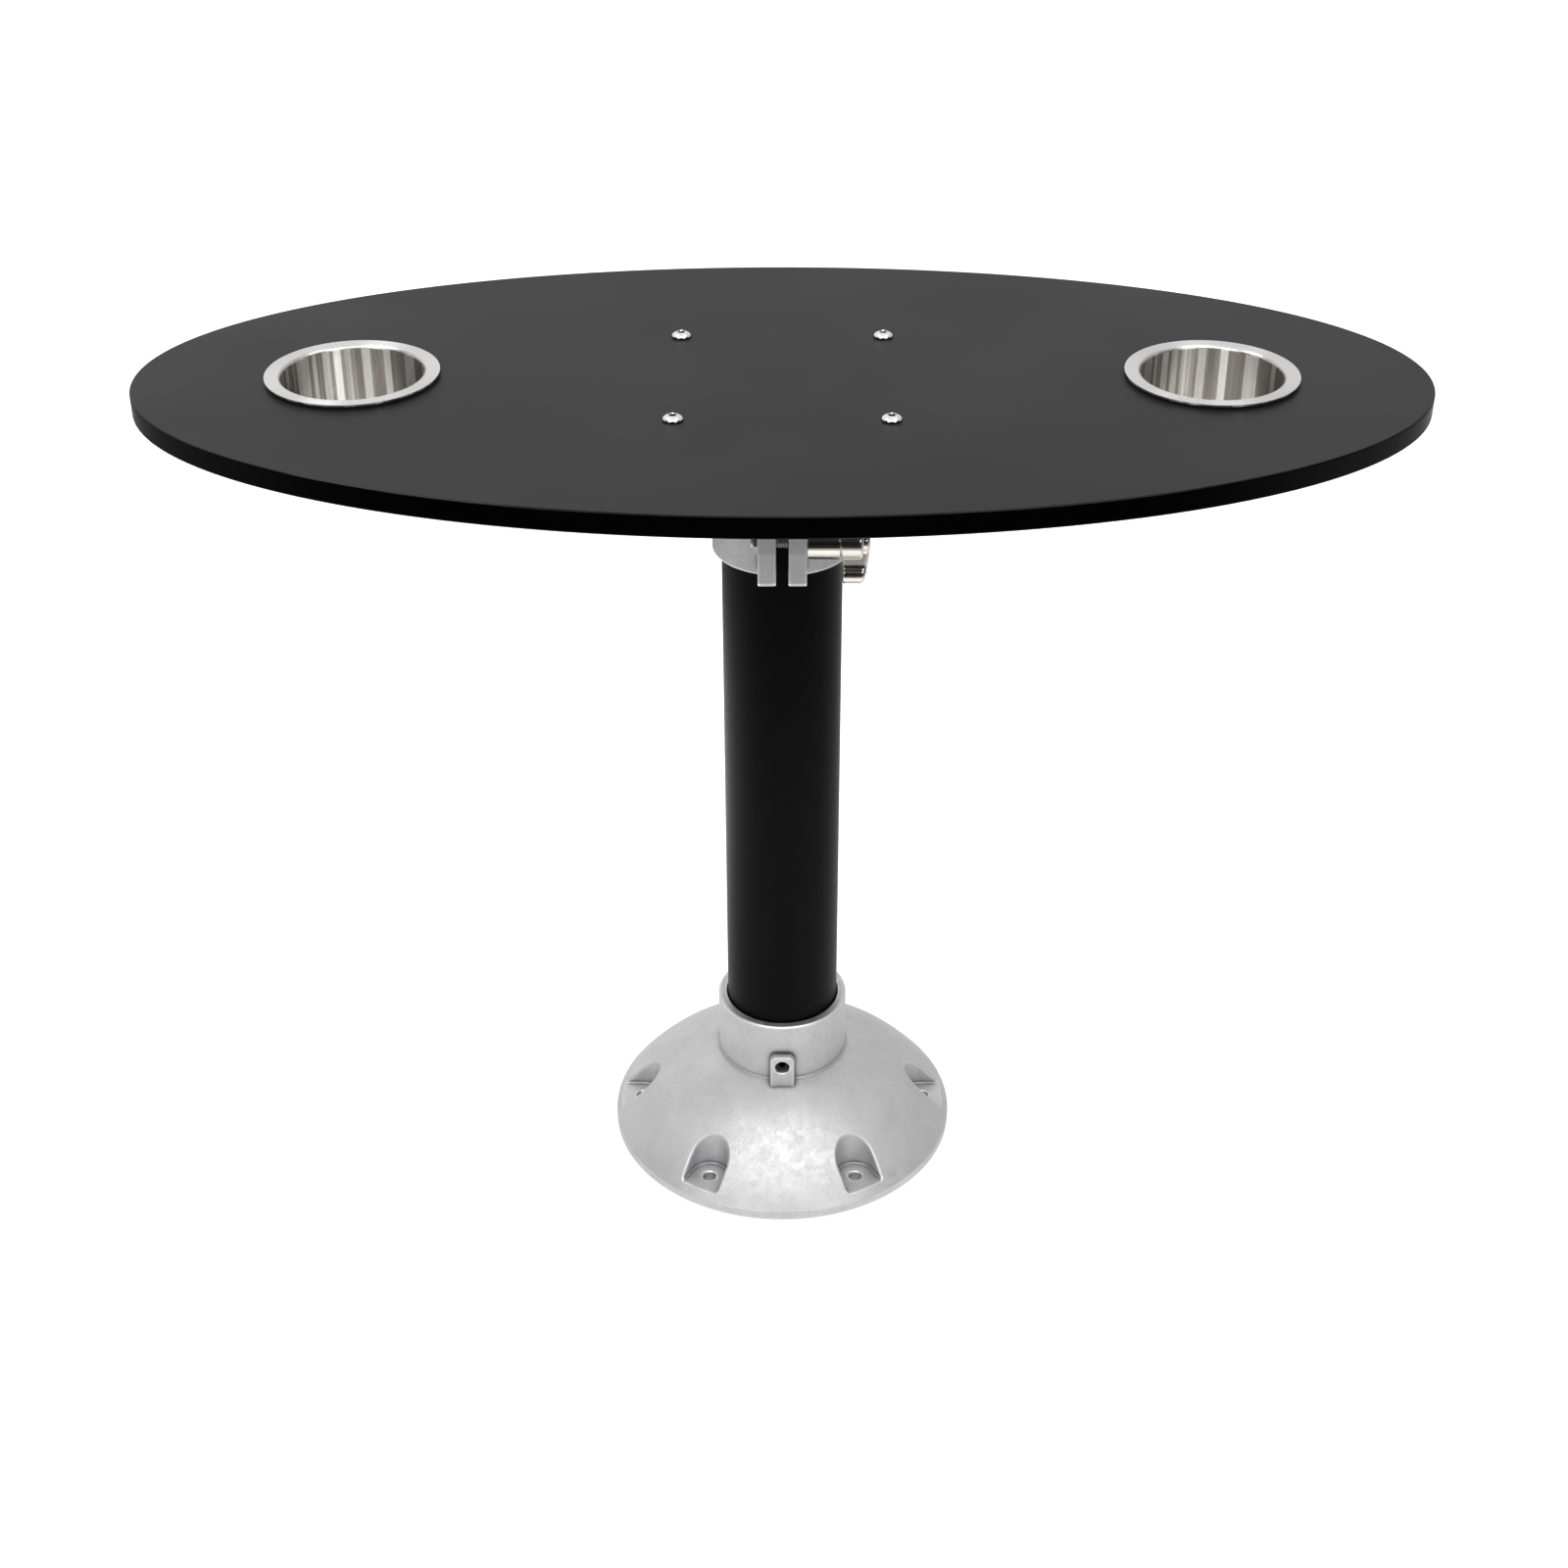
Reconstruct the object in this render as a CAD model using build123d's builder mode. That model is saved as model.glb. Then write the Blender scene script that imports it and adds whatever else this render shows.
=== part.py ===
from build123d import *
import math
import os

# A pedestal table on one pole: a cast floor base, a tube, a cast clamp head and an oval board.
# Millimetres, Z up, origin at the centre of the base's underside, the clamp on the -Y side.

# Pole
pole_diameter = 73.0
pole_wall = 3.0
pole_length = 508.0

# Floor base
base_diameter = 230.0
base_rim_height = 5.9
base_rim_width = 8.0
base_rim_edge = 1.5
base_wall = 6.0
base_rib_thickness = 6.0
dome_height = 60.0
dome_crown = 6.0
collar_wall = 5.8
collar_height = 103.0
collar_edge = 0.8
collar_foot = 1.5
socket_clearance = 0.4
socket_floor = 9.5
socket_ledge = 5.0

# Screw pockets scooped out of the base
screw_count = 6
screw_from_rim = 18.0
screw_hole_diameter = 8.5
pocket_radius = 13.0
pocket_wall = 5.0
pocket_floor = 11.0
pocket_foot = 1.5
pocket_edge = 1.6
screw_hole_edge = 0.6

# Set screw that holds the pole in the base
boss_width = 16.2
boss_top = 81.7
boss_corner = 4.0
boss_stand_off = 5.8
boss_root = 5.0
boss_edge = 1.4
set_screw_mouth = 0.5
set_screw_height = 73.8
set_screw_diameter = 9.5
set_screw_length = 8.0
set_screw_socket = 4.8
set_screw_socket_depth = 4.0
set_screw_tip_gap = 0.4
thread_clearance = 0.1

# Cap in the pole's top end, on which the head turns
cap_flange = 3.0
cap_skirt_depth = 16.0
cap_skirt_wall = 3.0
cap_clearance = 0.15

# Clamp head under the board
head_bore_clearance = 0.3
head_wall = 5.2
head_socket_depth = 86.3
head_lip = 1.2
plate_thickness = 8.0
plate_margin = 16.0
plate_corner = 18.0
plate_edge = 1.5
flare_size = 12.0
gusset_thickness = 8.0
gusset_reach = 78.0
gusset_drop = 36.0
gusset_angles = (45, 135, 225, 315)
slit_width = 7.1
slit_height = 70.0

# Ears that close the slit
ear_thickness = 10.6
ear_front = 64.4
ear_rise = 3.9
ear_height = 44.1
ear_face_height = 21.6
ear_lean = 1.2
ear_corner = 3.0
ear_shoulder = 8.0
ear_edge = 1.0
clamp_reach = 52.0
clamp_rise = 28.3

# Clamp screw with its wing knob
stud_diameter = 9.5
stud_hole_clearance = 0.25
stud_end_chamfer = 0.8
stud_overhang = 1.0
nut_across_flats = 14.3
nut_thickness = 8.3
nut_pocket_depth = 5.5
nut_pocket_clearance = 0.15
sleeve_diameter = 21.6
sleeve_length = 19.05
sleeve_edge = 0.6
clamp_washer_diameter = 18.0
clamp_washer_thickness = 1.0
knob_hub_length = 12.3
knob_hub_edge = 2.5
knob_wing_set_back = 0.8
knob_wing_depth = 15.5
knob_wing_tip_centre = 20.5
knob_wing_tip_radius = 6.5
knob_wing_waist = 8.4
knob_waist_blend = 5.0
knob_dome_rise = 4.0
knob_edge = 3.0
knob_inner_edge = 1.0
knob_stud_depth = 9.8

# Board
table_length = 745.0
table_width = 377.0
board_thickness = 12.7
board_edge = 1.0

# Bolts through the board into the head's plate
bolt_spacing_x = 120.65
bolt_spacing_y = 127.0
bolt_diameter = 6.35
bolt_hole_clearance = 0.3
bolt_head_diameter = 12.0
bolt_head_height = 3.3
bolt_head_rim = 0.6
bolt_socket = 4.0
bolt_socket_depth = 2.0
bolt_end_overhang = 2.0
bolt_washer_diameter = 16.0
bolt_washer_thickness = 1.6
bolt_nut_across_flats = 11.1
bolt_nut_height = 7.9

# Cup holders let into the board
cup_from_end = 125.8
cup_flange_diameter = 100.0
cup_bore_diameter = 81.4
cup_sheet = 1.0
cup_depth = 56.0
cup_bottom_radius = 8.0
cup_lip_radius = 1.2
cup_hole_clearance = 1.0
gasket_thickness = 2.0
gasket_inset = 1.0
gasket_width = 5.0

# Places that follow from the sizes above
pole_radius = pole_diameter / 2
base_radius = base_diameter / 2
screw_circle_radius = base_radius - screw_from_rim
socket_radius = pole_radius + socket_clearance
collar_radius = socket_radius + collar_wall
boss_face = collar_radius + boss_stand_off
pole_top = socket_floor + pole_length
plate_bottom = pole_top + cap_flange
plate_top = plate_bottom + plate_thickness
board_top = plate_top + board_thickness
head_bottom = plate_bottom - head_socket_depth
head_bore_radius = pole_radius + head_bore_clearance
head_radius = head_bore_radius + head_wall
clamp_height = head_bottom + clamp_rise
ear_outer = slit_width / 2 + ear_thickness
stud_radius = stud_diameter / 2
sleeve_end = ear_outer + sleeve_length
hub_start = sleeve_end + clamp_washer_thickness
wing_start = hub_start + knob_wing_set_back
nut_outer = ear_outer - nut_pocket_depth + nut_thickness
bolt_radius = bolt_diameter / 2
bolt_hole_radius = bolt_radius + bolt_hole_clearance
cup_spacing = table_length - 2 * cup_from_end
cup_bore_radius = cup_bore_diameter / 2
cup_outer_radius = cup_bore_radius + cup_sheet
cup_flange_radius = cup_flange_diameter / 2
cup_flange_bottom = board_top + gasket_thickness
gasket_outer_radius = cup_flange_radius - gasket_inset
clamp_centre = (-clamp_reach, clamp_height)


def crowned_middle(start, end, crown):
    """Middle point of an arc from start to end that stands the crown away from their chord, upwards."""
    chord = math.dist(start, end)
    across = (start[1] - end[1]) / chord
    along = (end[0] - start[0]) / chord
    middle = ((start[0] + end[0]) / 2, (start[1] + end[1]) / 2)
    return (middle[0] + crown * across, middle[1] + crown * along)


def radial_plane(angle):
    """Upright plane through the pole's axis, with its own X pointing outwards at the angle."""
    turn = math.radians(angle)
    outwards = (math.cos(turn), math.sin(turn), 0)
    return Plane(origin=(0, 0, 0), x_dir=outwards, z_dir=(math.sin(turn), -math.cos(turn), 0))


# The hollow under the base, kept clear of the screw pillars and the ribs
hollow_inner = (collar_radius, dome_height - base_wall)
hollow_outer = (base_radius - base_rim_width, base_rim_height)
with BuildPart() as base_hollow:
    with BuildSketch(Plane.XZ):
        with BuildLine():
            Polyline(
                hollow_inner,
                (hollow_inner[0], 0),
                (hollow_outer[0], 0),
                hollow_outer,
            )
            ThreePointArc(hollow_inner, crowned_middle(hollow_inner, hollow_outer, dome_crown), hollow_outer)
        make_face()
    revolve(axis=Axis.Z)
    with BuildSketch():
        with PolarLocations(screw_circle_radius, screw_count):
            Circle(pocket_radius + pocket_wall)
            Rectangle(
                base_radius - screw_circle_radius,
                2 * (pocket_radius + pocket_wall),
                align=(Align.MIN, Align.CENTER),
            )
        with PolarLocations(0, screw_count, start_angle=180 / screw_count):
            Rectangle(base_radius, base_rib_thickness, align=(Align.MIN, Align.CENTER))
    extrude(amount=dome_height, mode=Mode.SUBTRACT)

# One screw pocket, cut out of the base: a scoop open to the outside, with a rounded foot and a screw hole
with BuildPart() as screw_pocket:
    with BuildSketch(Plane.XY.offset(pocket_floor)):
        with Locations((screw_circle_radius, 0)):
            Circle(pocket_radius)
            Rectangle(base_radius, 2 * pocket_radius, align=(Align.MIN, Align.CENTER))
    extrude(amount=dome_height)
    fillet(screw_pocket.edges().group_by(Axis.Z)[0], pocket_foot)
    with BuildSketch(Plane.XY):
        with Locations((screw_circle_radius, 0)):
            Circle(screw_hole_diameter / 2)
    extrude(amount=pocket_floor)
    floor_circles = screw_pocket.edges().filter_by(GeomType.CIRCLE).filter_by_position(
        Axis.Z, pocket_floor, pocket_floor
    )
    chamfer(floor_circles.sort_by(SortBy.RADIUS)[0], screw_hole_edge)

# Floor base: dome, collar, scooped screw pockets and the set-screw boss in one casting
dome_inner = (collar_radius, dome_height)
dome_outer = (base_radius, base_rim_height)
with BuildPart() as base_casting:
    with BuildSketch(radial_plane(180 / screw_count)) as base_section:
        with BuildLine():
            Polyline(
                dome_inner,
                (collar_radius, collar_height),
                (0, collar_height),
                (0, 0),
                (base_radius, 0),
                dome_outer,
            )
            ThreePointArc(dome_inner, crowned_middle(dome_inner, dome_outer, dome_crown), dome_outer)
        make_face()
        fillet(base_section.vertices().group_by(Axis.X)[-1].sort_by(Axis.Y)[-1], base_rim_edge)
        fillet(base_section.vertices().sort_by_distance(Vector(*dome_inner))[0], collar_foot)
    revolve(axis=Axis.Z)
    add(base_hollow.part, mode=Mode.SUBTRACT)
    with PolarLocations(0, screw_count):
        add(screw_pocket.part, mode=Mode.SUBTRACT)
    dome_face = base_casting.faces().filter_by(GeomType.REVOLUTION).sort_by(SortBy.AREA)[-1]
    fillet(dome_face.edges().filter_by(GeomType.BSPLINE), pocket_edge)
    with BuildSketch(Plane.XZ.offset(boss_face)) as boss_outline:
        with Locations((0, dome_height - boss_root)):
            Rectangle(boss_width, boss_top - dome_height + boss_root, align=(Align.CENTER, Align.MIN))
        fillet(boss_outline.vertices().group_by(Axis.Y)[-1], boss_corner)
    extrude(amount=-(boss_face - socket_radius))
    boss_front = base_casting.faces().filter_by(Axis.Y).sort_by(Axis.Y)[0]
    fillet(boss_front.edges().sort_by(Axis.Z)[1:], boss_edge)
    with BuildSketch(Plane.XY.offset(socket_floor)):
        Circle(socket_radius)
    extrude(amount=collar_height, mode=Mode.SUBTRACT)
    with BuildSketch(Plane.XY):
        Circle(socket_radius - socket_ledge)
    extrude(amount=socket_floor, mode=Mode.SUBTRACT)
    with BuildSketch(Plane.XZ.offset(boss_face)):
        with Locations((0, set_screw_height)):
            Circle(set_screw_diameter / 2)
    extrude(amount=-boss_face, mode=Mode.SUBTRACT)
    boss_front = base_casting.faces().filter_by(Axis.Y).sort_by(Axis.Y)[0]
    chamfer(boss_front.edges().filter_by(GeomType.CIRCLE).sort_by(SortBy.LENGTH)[-1], set_screw_mouth)
    chamfer(base_casting.edges().group_by(Axis.Z)[-1], collar_edge)
base_casting.part.label = "base_casting"

# Socket set screw in the boss, its tip just off the pole
set_screw_tip = pole_radius + set_screw_tip_gap
with BuildPart() as base_set_screw:
    with BuildSketch(Plane.XZ.offset(set_screw_tip)):
        with Locations((0, set_screw_height)):
            Circle(set_screw_diameter / 2 - thread_clearance)
    extrude(amount=set_screw_length)
    with BuildSketch(Plane.XZ.offset(set_screw_tip + set_screw_length)):
        with Locations((0, set_screw_height)):
            RegularPolygon(set_screw_socket / 2, 6, major_radius=False)
    extrude(amount=-set_screw_socket_depth, mode=Mode.SUBTRACT)
base_set_screw.part.label = "base_set_screw"

# Pole
with BuildPart() as pole_tube:
    with BuildSketch(Plane.XY.offset(socket_floor)):
        Circle(pole_radius)
        Circle(pole_radius - pole_wall, mode=Mode.SUBTRACT)
    extrude(amount=pole_length)
pole_tube.part.label = "pole_tube"

# Bearing cap: a flange on the pole's end and a skirt inside it
cap_skirt_radius = pole_radius - pole_wall - cap_clearance
with BuildPart() as bearing_cap:
    with BuildSketch(Plane.XY.offset(pole_top)):
        Circle(pole_radius)
    extrude(amount=cap_flange)
    with BuildSketch(Plane.XY.offset(pole_top)):
        Circle(cap_skirt_radius)
        Circle(cap_skirt_radius - cap_skirt_wall, mode=Mode.SUBTRACT)
    extrude(amount=-cap_skirt_depth)
bearing_cap.part.label = "bearing_cap"

# One ear of the clamp, on the right of the slit
ear_bottom = head_bottom + ear_rise
ear_top = ear_bottom + ear_height
with BuildPart() as clamp_ear:
    with BuildSketch(Plane.YZ.offset(slit_width / 2)) as ear_outline:
        with BuildLine():
            Polyline(
                (-head_bore_radius, ear_bottom),
                (-ear_front, ear_bottom),
                (-ear_front, ear_bottom + ear_face_height),
                (ear_lean - ear_front, ear_top),
                (-head_bore_radius, ear_top),
                close=True,
            )
        make_face()
        fillet(ear_outline.vertices().group_by(Axis.Y)[0].sort_by(Axis.X)[0], ear_corner)
        fillet(ear_outline.vertices().group_by(Axis.Y)[-1].sort_by(Axis.X)[0], ear_shoulder)
    extrude(amount=ear_thickness)
    for ear_side in clamp_ear.faces().filter_by(Axis.X):
        fillet(ear_side.edges().sort_by(Axis.Y)[:-1], ear_edge)

# Clamp head: bolting plate, gussets, split collar and two ears in one casting
with BuildPart() as head_casting:
    with BuildSketch(Plane.XY.offset(plate_bottom)):
        RectangleRounded(
            bolt_spacing_x + 2 * plate_margin,
            bolt_spacing_y + 2 * plate_margin,
            plate_corner,
        )
    extrude(amount=plate_thickness)
    fillet(head_casting.edges().group_by(Axis.Z)[0], plate_edge)
    with BuildSketch(Plane.XZ):
        with BuildLine():
            Polyline(
                (head_radius, plate_bottom - flare_size),
                (head_radius, head_bottom),
                (0, head_bottom),
                (0, plate_bottom),
                (head_radius + flare_size, plate_bottom),
            )
            RadiusArc(
                (head_radius, plate_bottom - flare_size),
                (head_radius + flare_size, plate_bottom),
                flare_size,
            )
        make_face()
    revolve(axis=Axis.Z)
    for gusset_angle in gusset_angles:
        with BuildSketch(radial_plane(gusset_angle)):
            with BuildLine():
                Polyline(
                    (head_bore_radius, plate_bottom),
                    (gusset_reach, plate_bottom),
                    (head_radius, plate_bottom - gusset_drop),
                    (head_bore_radius, plate_bottom - gusset_drop),
                    close=True,
                )
            make_face()
        extrude(amount=gusset_thickness / 2, both=True)
    fillet(head_casting.edges().group_by(Axis.Z)[0], head_lip)
    add(clamp_ear.part)
    add(mirror(clamp_ear.part, about=Plane.YZ, mode=Mode.PRIVATE))
    with BuildSketch(Plane.XY.offset(head_bottom)):
        Circle(head_bore_radius)
    extrude(amount=head_socket_depth, mode=Mode.SUBTRACT)
    with BuildSketch(Plane.XY.offset(head_bottom)):
        Rectangle(slit_width, ear_front, align=(Align.CENTER, Align.MAX))
    extrude(amount=slit_height, mode=Mode.SUBTRACT)
    with BuildSketch(Plane.YZ.offset(-ear_outer)):
        with Locations(clamp_centre):
            Circle(stud_radius + stud_hole_clearance)
    extrude(amount=2 * ear_outer, mode=Mode.SUBTRACT)
    with BuildSketch(Plane.YZ.offset(-ear_outer)):
        with Locations(clamp_centre):
            RegularPolygon(nut_across_flats / 2 + nut_pocket_clearance, 6, major_radius=False)
    extrude(amount=nut_pocket_depth, mode=Mode.SUBTRACT)
    with BuildSketch(Plane.XY.offset(plate_bottom)):
        with GridLocations(bolt_spacing_x, bolt_spacing_y, 2, 2):
            Circle(bolt_hole_radius)
    extrude(amount=plate_thickness, mode=Mode.SUBTRACT)
head_casting.part.label = "head_casting"

# Nut held in the left ear's hexagonal pocket
with BuildPart() as clamp_nut:
    with BuildSketch(Plane.YZ.offset(-nut_outer)):
        with Locations(clamp_centre):
            RegularPolygon(nut_across_flats / 2, 6, major_radius=False)
            Circle(stud_radius + thread_clearance, mode=Mode.SUBTRACT)
    extrude(amount=nut_thickness)
clamp_nut.part.label = "clamp_nut"

# Spacer sleeve that carries the knob clear of the collar
with BuildPart() as spacer_sleeve:
    with BuildSketch(Plane.YZ.offset(ear_outer)):
        with Locations(clamp_centre):
            Circle(sleeve_diameter / 2)
            Circle(stud_radius + stud_hole_clearance, mode=Mode.SUBTRACT)
    extrude(amount=sleeve_length)
    sleeve_rims = spacer_sleeve.edges().filter_by(GeomType.CIRCLE).group_by(SortBy.RADIUS)[-1]
    fillet(sleeve_rims, sleeve_edge)
spacer_sleeve.part.label = "spacer_sleeve"

# Thrust washer between the sleeve and the knob
with BuildPart() as clamp_washer:
    with BuildSketch(Plane.YZ.offset(sleeve_end)):
        with Locations(clamp_centre):
            Circle(clamp_washer_diameter / 2)
            Circle(stud_radius + stud_hole_clearance, mode=Mode.SUBTRACT)
    extrude(amount=clamp_washer_thickness)
clamp_washer.part.label = "clamp_washer"

# Stud, fixed in the knob and screwed through the nut
with BuildPart() as clamp_stud:
    with BuildSketch(Plane.YZ.offset(-nut_outer - stud_overhang)):
        with Locations(clamp_centre):
            Circle(stud_radius)
    extrude(amount=nut_outer + stud_overhang + hub_start + knob_stud_depth)
    chamfer(clamp_stud.edges().filter_by(GeomType.CIRCLE), stud_end_chamfer)
clamp_stud.part.label = "clamp_stud"

# Wing knob: two waisted wings with a domed outer side, on a round hub
wing_reach = knob_wing_tip_centre + knob_wing_tip_radius
wing_end = wing_start + knob_wing_depth
dome_radius = (wing_reach**2 + knob_dome_rise**2) / (2 * knob_dome_rise)
with BuildPart() as clamp_knob:
    with BuildSketch(Plane.YZ.offset(wing_start)) as wing_outline:
        with Locations(clamp_centre):
            Rectangle(knob_wing_waist, 2 * knob_wing_tip_centre)
            with GridLocations(0, knob_wing_tip_centre, 1, 3):
                Circle(knob_wing_tip_radius)
        fillet(wing_outline.vertices(), knob_waist_blend)
    extrude(amount=knob_wing_depth)
    with Locations((wing_end - dome_radius, -clamp_reach, clamp_height)):
        Sphere(dome_radius, mode=Mode.INTERSECT)
    fillet(clamp_knob.faces().filter_by(GeomType.SPHERE).edges(), knob_edge)
    fillet(clamp_knob.faces().filter_by(GeomType.PLANE).sort_by(Axis.X)[0].edges(), knob_inner_edge)
    with BuildSketch(Plane.YZ.offset(hub_start)):
        with Locations(clamp_centre):
            Circle(sleeve_diameter / 2)
    extrude(amount=knob_hub_length)
    hub_faces = clamp_knob.faces().filter_by(GeomType.PLANE).group_by(Axis.X)[-1]
    fillet(hub_faces.edges().filter_by(GeomType.CIRCLE).group_by(SortBy.RADIUS)[-1], knob_hub_edge)
    with BuildSketch(Plane.YZ.offset(hub_start)):
        with Locations(clamp_centre):
            Circle(stud_radius + thread_clearance)
    extrude(amount=knob_stud_depth, mode=Mode.SUBTRACT)
clamp_knob.part.label = "clamp_knob"

# Oval board with its cup and bolt holes
cup_places = {"left": -cup_spacing / 2, "right": cup_spacing / 2}
with BuildPart() as table_top:
    with BuildSketch(Plane.XY.offset(plate_top)):
        Ellipse(table_length / 2, table_width / 2)
    extrude(amount=board_thickness)
    fillet(table_top.edges().filter_by(GeomType.ELLIPSE), board_edge)
    with BuildSketch(Plane.XY.offset(plate_top)):
        with GridLocations(cup_spacing, 0, 2, 1):
            Circle(cup_outer_radius + cup_hole_clearance)
        with GridLocations(bolt_spacing_x, bolt_spacing_y, 2, 2):
            Circle(bolt_hole_radius)
    extrude(amount=board_thickness, mode=Mode.SUBTRACT)
table_top.part.label = "table_top"

# Button-head bolts, one solid for each corner of the pattern
bolt_grip = board_thickness + plate_thickness + bolt_washer_thickness + bolt_nut_height
with BuildPart() as table_bolts:
    with BuildSketch(Plane.XY.offset(board_top)):
        with GridLocations(bolt_spacing_x, bolt_spacing_y, 2, 2):
            Circle(bolt_head_diameter / 2)
    extrude(amount=bolt_head_height)
    head_rims = table_bolts.edges().group_by(Axis.Z)[-1]
    fillet(head_rims, bolt_head_height - bolt_head_rim)
    with BuildSketch(Plane.XY.offset(board_top)):
        with GridLocations(bolt_spacing_x, bolt_spacing_y, 2, 2):
            Circle(bolt_radius)
    extrude(amount=-(bolt_grip + bolt_end_overhang))
    with BuildSketch(Plane.XY.offset(board_top + bolt_head_height)):
        with GridLocations(bolt_spacing_x, bolt_spacing_y, 2, 2):
            RegularPolygon(bolt_socket / 2, 6, major_radius=False)
    extrude(amount=-bolt_socket_depth, mode=Mode.SUBTRACT)
table_bolts.part.label = "table_bolts"

# Washers and lock nuts under the plate
with BuildPart() as table_washers:
    with BuildSketch(Plane.XY.offset(plate_bottom)):
        with GridLocations(bolt_spacing_x, bolt_spacing_y, 2, 2):
            Circle(bolt_washer_diameter / 2)
            Circle(bolt_hole_radius, mode=Mode.SUBTRACT)
    extrude(amount=-bolt_washer_thickness)
table_washers.part.label = "table_washers"

with BuildPart() as table_nuts:
    with BuildSketch(Plane.XY.offset(plate_bottom - bolt_washer_thickness)):
        with GridLocations(bolt_spacing_x, bolt_spacing_y, 2, 2):
            RegularPolygon(bolt_nut_across_flats / 2, 6, major_radius=False)
            Circle(bolt_radius + thread_clearance, mode=Mode.SUBTRACT)
    extrude(amount=-bolt_nut_height)
table_nuts.part.label = "table_nuts"

os.makedirs("parts", exist_ok=True)

# Cup holders with their gaskets, one of each on either side
cup_flange_top = cup_flange_bottom + cup_sheet
cup_floor = cup_flange_top - cup_depth
cup_inner_floor = cup_floor + cup_sheet
cup_outer_corner = cup_bottom_radius + cup_sheet
cup_bend = cup_lip_radius + cup_sheet
for side, cup_x in cup_places.items():
    cup_plane = Plane(origin=(cup_x, 0, 0), x_dir=(1, 0, 0), z_dir=(0, -1, 0))
    cup_axis = Axis((cup_x, 0, 0), (0, 0, 1))
    with BuildPart() as cup_holder:
        with BuildSketch(cup_plane):
            with BuildLine():
                Polyline(
                    (0, cup_floor),
                    (0, cup_inner_floor),
                    (cup_bore_radius - cup_bottom_radius, cup_inner_floor),
                )
                RadiusArc(
                    (cup_bore_radius - cup_bottom_radius, cup_inner_floor),
                    (cup_bore_radius, cup_inner_floor + cup_bottom_radius),
                    -cup_bottom_radius,
                )
                Line(
                    (cup_bore_radius, cup_inner_floor + cup_bottom_radius),
                    (cup_bore_radius, cup_flange_top - cup_bend),
                )
                RadiusArc(
                    (cup_bore_radius, cup_flange_top - cup_bend),
                    (cup_bore_radius + cup_bend, cup_flange_top),
                    cup_bend,
                )
                Polyline(
                    (cup_bore_radius + cup_bend, cup_flange_top),
                    (cup_flange_radius, cup_flange_top),
                    (cup_flange_radius, cup_flange_bottom),
                    (cup_bore_radius + cup_bend, cup_flange_bottom),
                )
                RadiusArc(
                    (cup_bore_radius + cup_bend, cup_flange_bottom),
                    (cup_outer_radius, cup_flange_bottom - cup_lip_radius),
                    -cup_lip_radius,
                )
                Line(
                    (cup_outer_radius, cup_flange_bottom - cup_lip_radius),
                    (cup_outer_radius, cup_floor + cup_outer_corner),
                )
                RadiusArc(
                    (cup_outer_radius, cup_floor + cup_outer_corner),
                    (cup_outer_radius - cup_outer_corner, cup_floor),
                    cup_outer_corner,
                )
                Line((cup_outer_radius - cup_outer_corner, cup_floor), (0, cup_floor))
            make_face()
        revolve(axis=cup_axis)
    cup_holder.part.label = f"cup_holder_{side}"
    export_step(cup_holder.part, f"parts/cup_holder_{side}.step")

    with BuildPart() as cup_gasket:
        with BuildSketch(Plane.XY.offset(board_top)):
            with Locations((cup_x, 0)):
                Circle(gasket_outer_radius)
                Circle(gasket_outer_radius - gasket_width, mode=Mode.SUBTRACT)
        extrude(amount=gasket_thickness)
    cup_gasket.part.label = f"cup_gasket_{side}"
    export_step(cup_gasket.part, f"parts/cup_gasket_{side}.step")

for piece in (
    base_casting,
    base_set_screw,
    pole_tube,
    bearing_cap,
    head_casting,
    clamp_nut,
    spacer_sleeve,
    clamp_washer,
    clamp_stud,
    clamp_knob,
    table_top,
    table_bolts,
    table_washers,
    table_nuts,
):
    export_step(piece.part, f"parts/{piece.part.label}.step")
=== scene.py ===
import math

import bmesh
import bpy
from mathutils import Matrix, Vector


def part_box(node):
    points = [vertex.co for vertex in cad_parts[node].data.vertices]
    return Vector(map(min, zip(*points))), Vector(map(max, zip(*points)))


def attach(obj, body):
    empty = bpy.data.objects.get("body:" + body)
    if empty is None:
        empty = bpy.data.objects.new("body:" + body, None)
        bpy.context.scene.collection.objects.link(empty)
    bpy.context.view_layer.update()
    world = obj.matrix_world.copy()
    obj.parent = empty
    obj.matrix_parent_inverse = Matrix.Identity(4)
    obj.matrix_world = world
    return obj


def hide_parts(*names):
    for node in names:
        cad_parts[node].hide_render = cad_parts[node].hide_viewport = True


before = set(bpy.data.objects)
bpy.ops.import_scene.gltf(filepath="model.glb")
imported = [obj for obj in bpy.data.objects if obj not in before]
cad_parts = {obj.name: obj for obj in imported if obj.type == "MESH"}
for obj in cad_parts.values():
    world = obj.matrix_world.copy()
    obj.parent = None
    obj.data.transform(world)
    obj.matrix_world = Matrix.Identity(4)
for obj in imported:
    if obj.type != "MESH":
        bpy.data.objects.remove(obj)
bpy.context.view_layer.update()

# Camera, in metres and degrees, with its lens and sensor in millimetres
camera_place = (0.0, -1.23631, 1.03402)
camera_pitch = 31.856
camera_lens = 52.378
camera_sensor = 36.0
camera_shift = 0.0011

# Floor, in metres
floor_size = 24.0
floor_drop = 0.0002
floor_pale = (0.9, 0.9, 0.9, 1.0)
floor_glow = 0.45
# Painted shadow: the floor's glow under the base, and the rim where it gives way
floor_glow_painted_shadow = 0.12
floor_painted_shadow_rim = (0.108, 0.1134)

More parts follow.
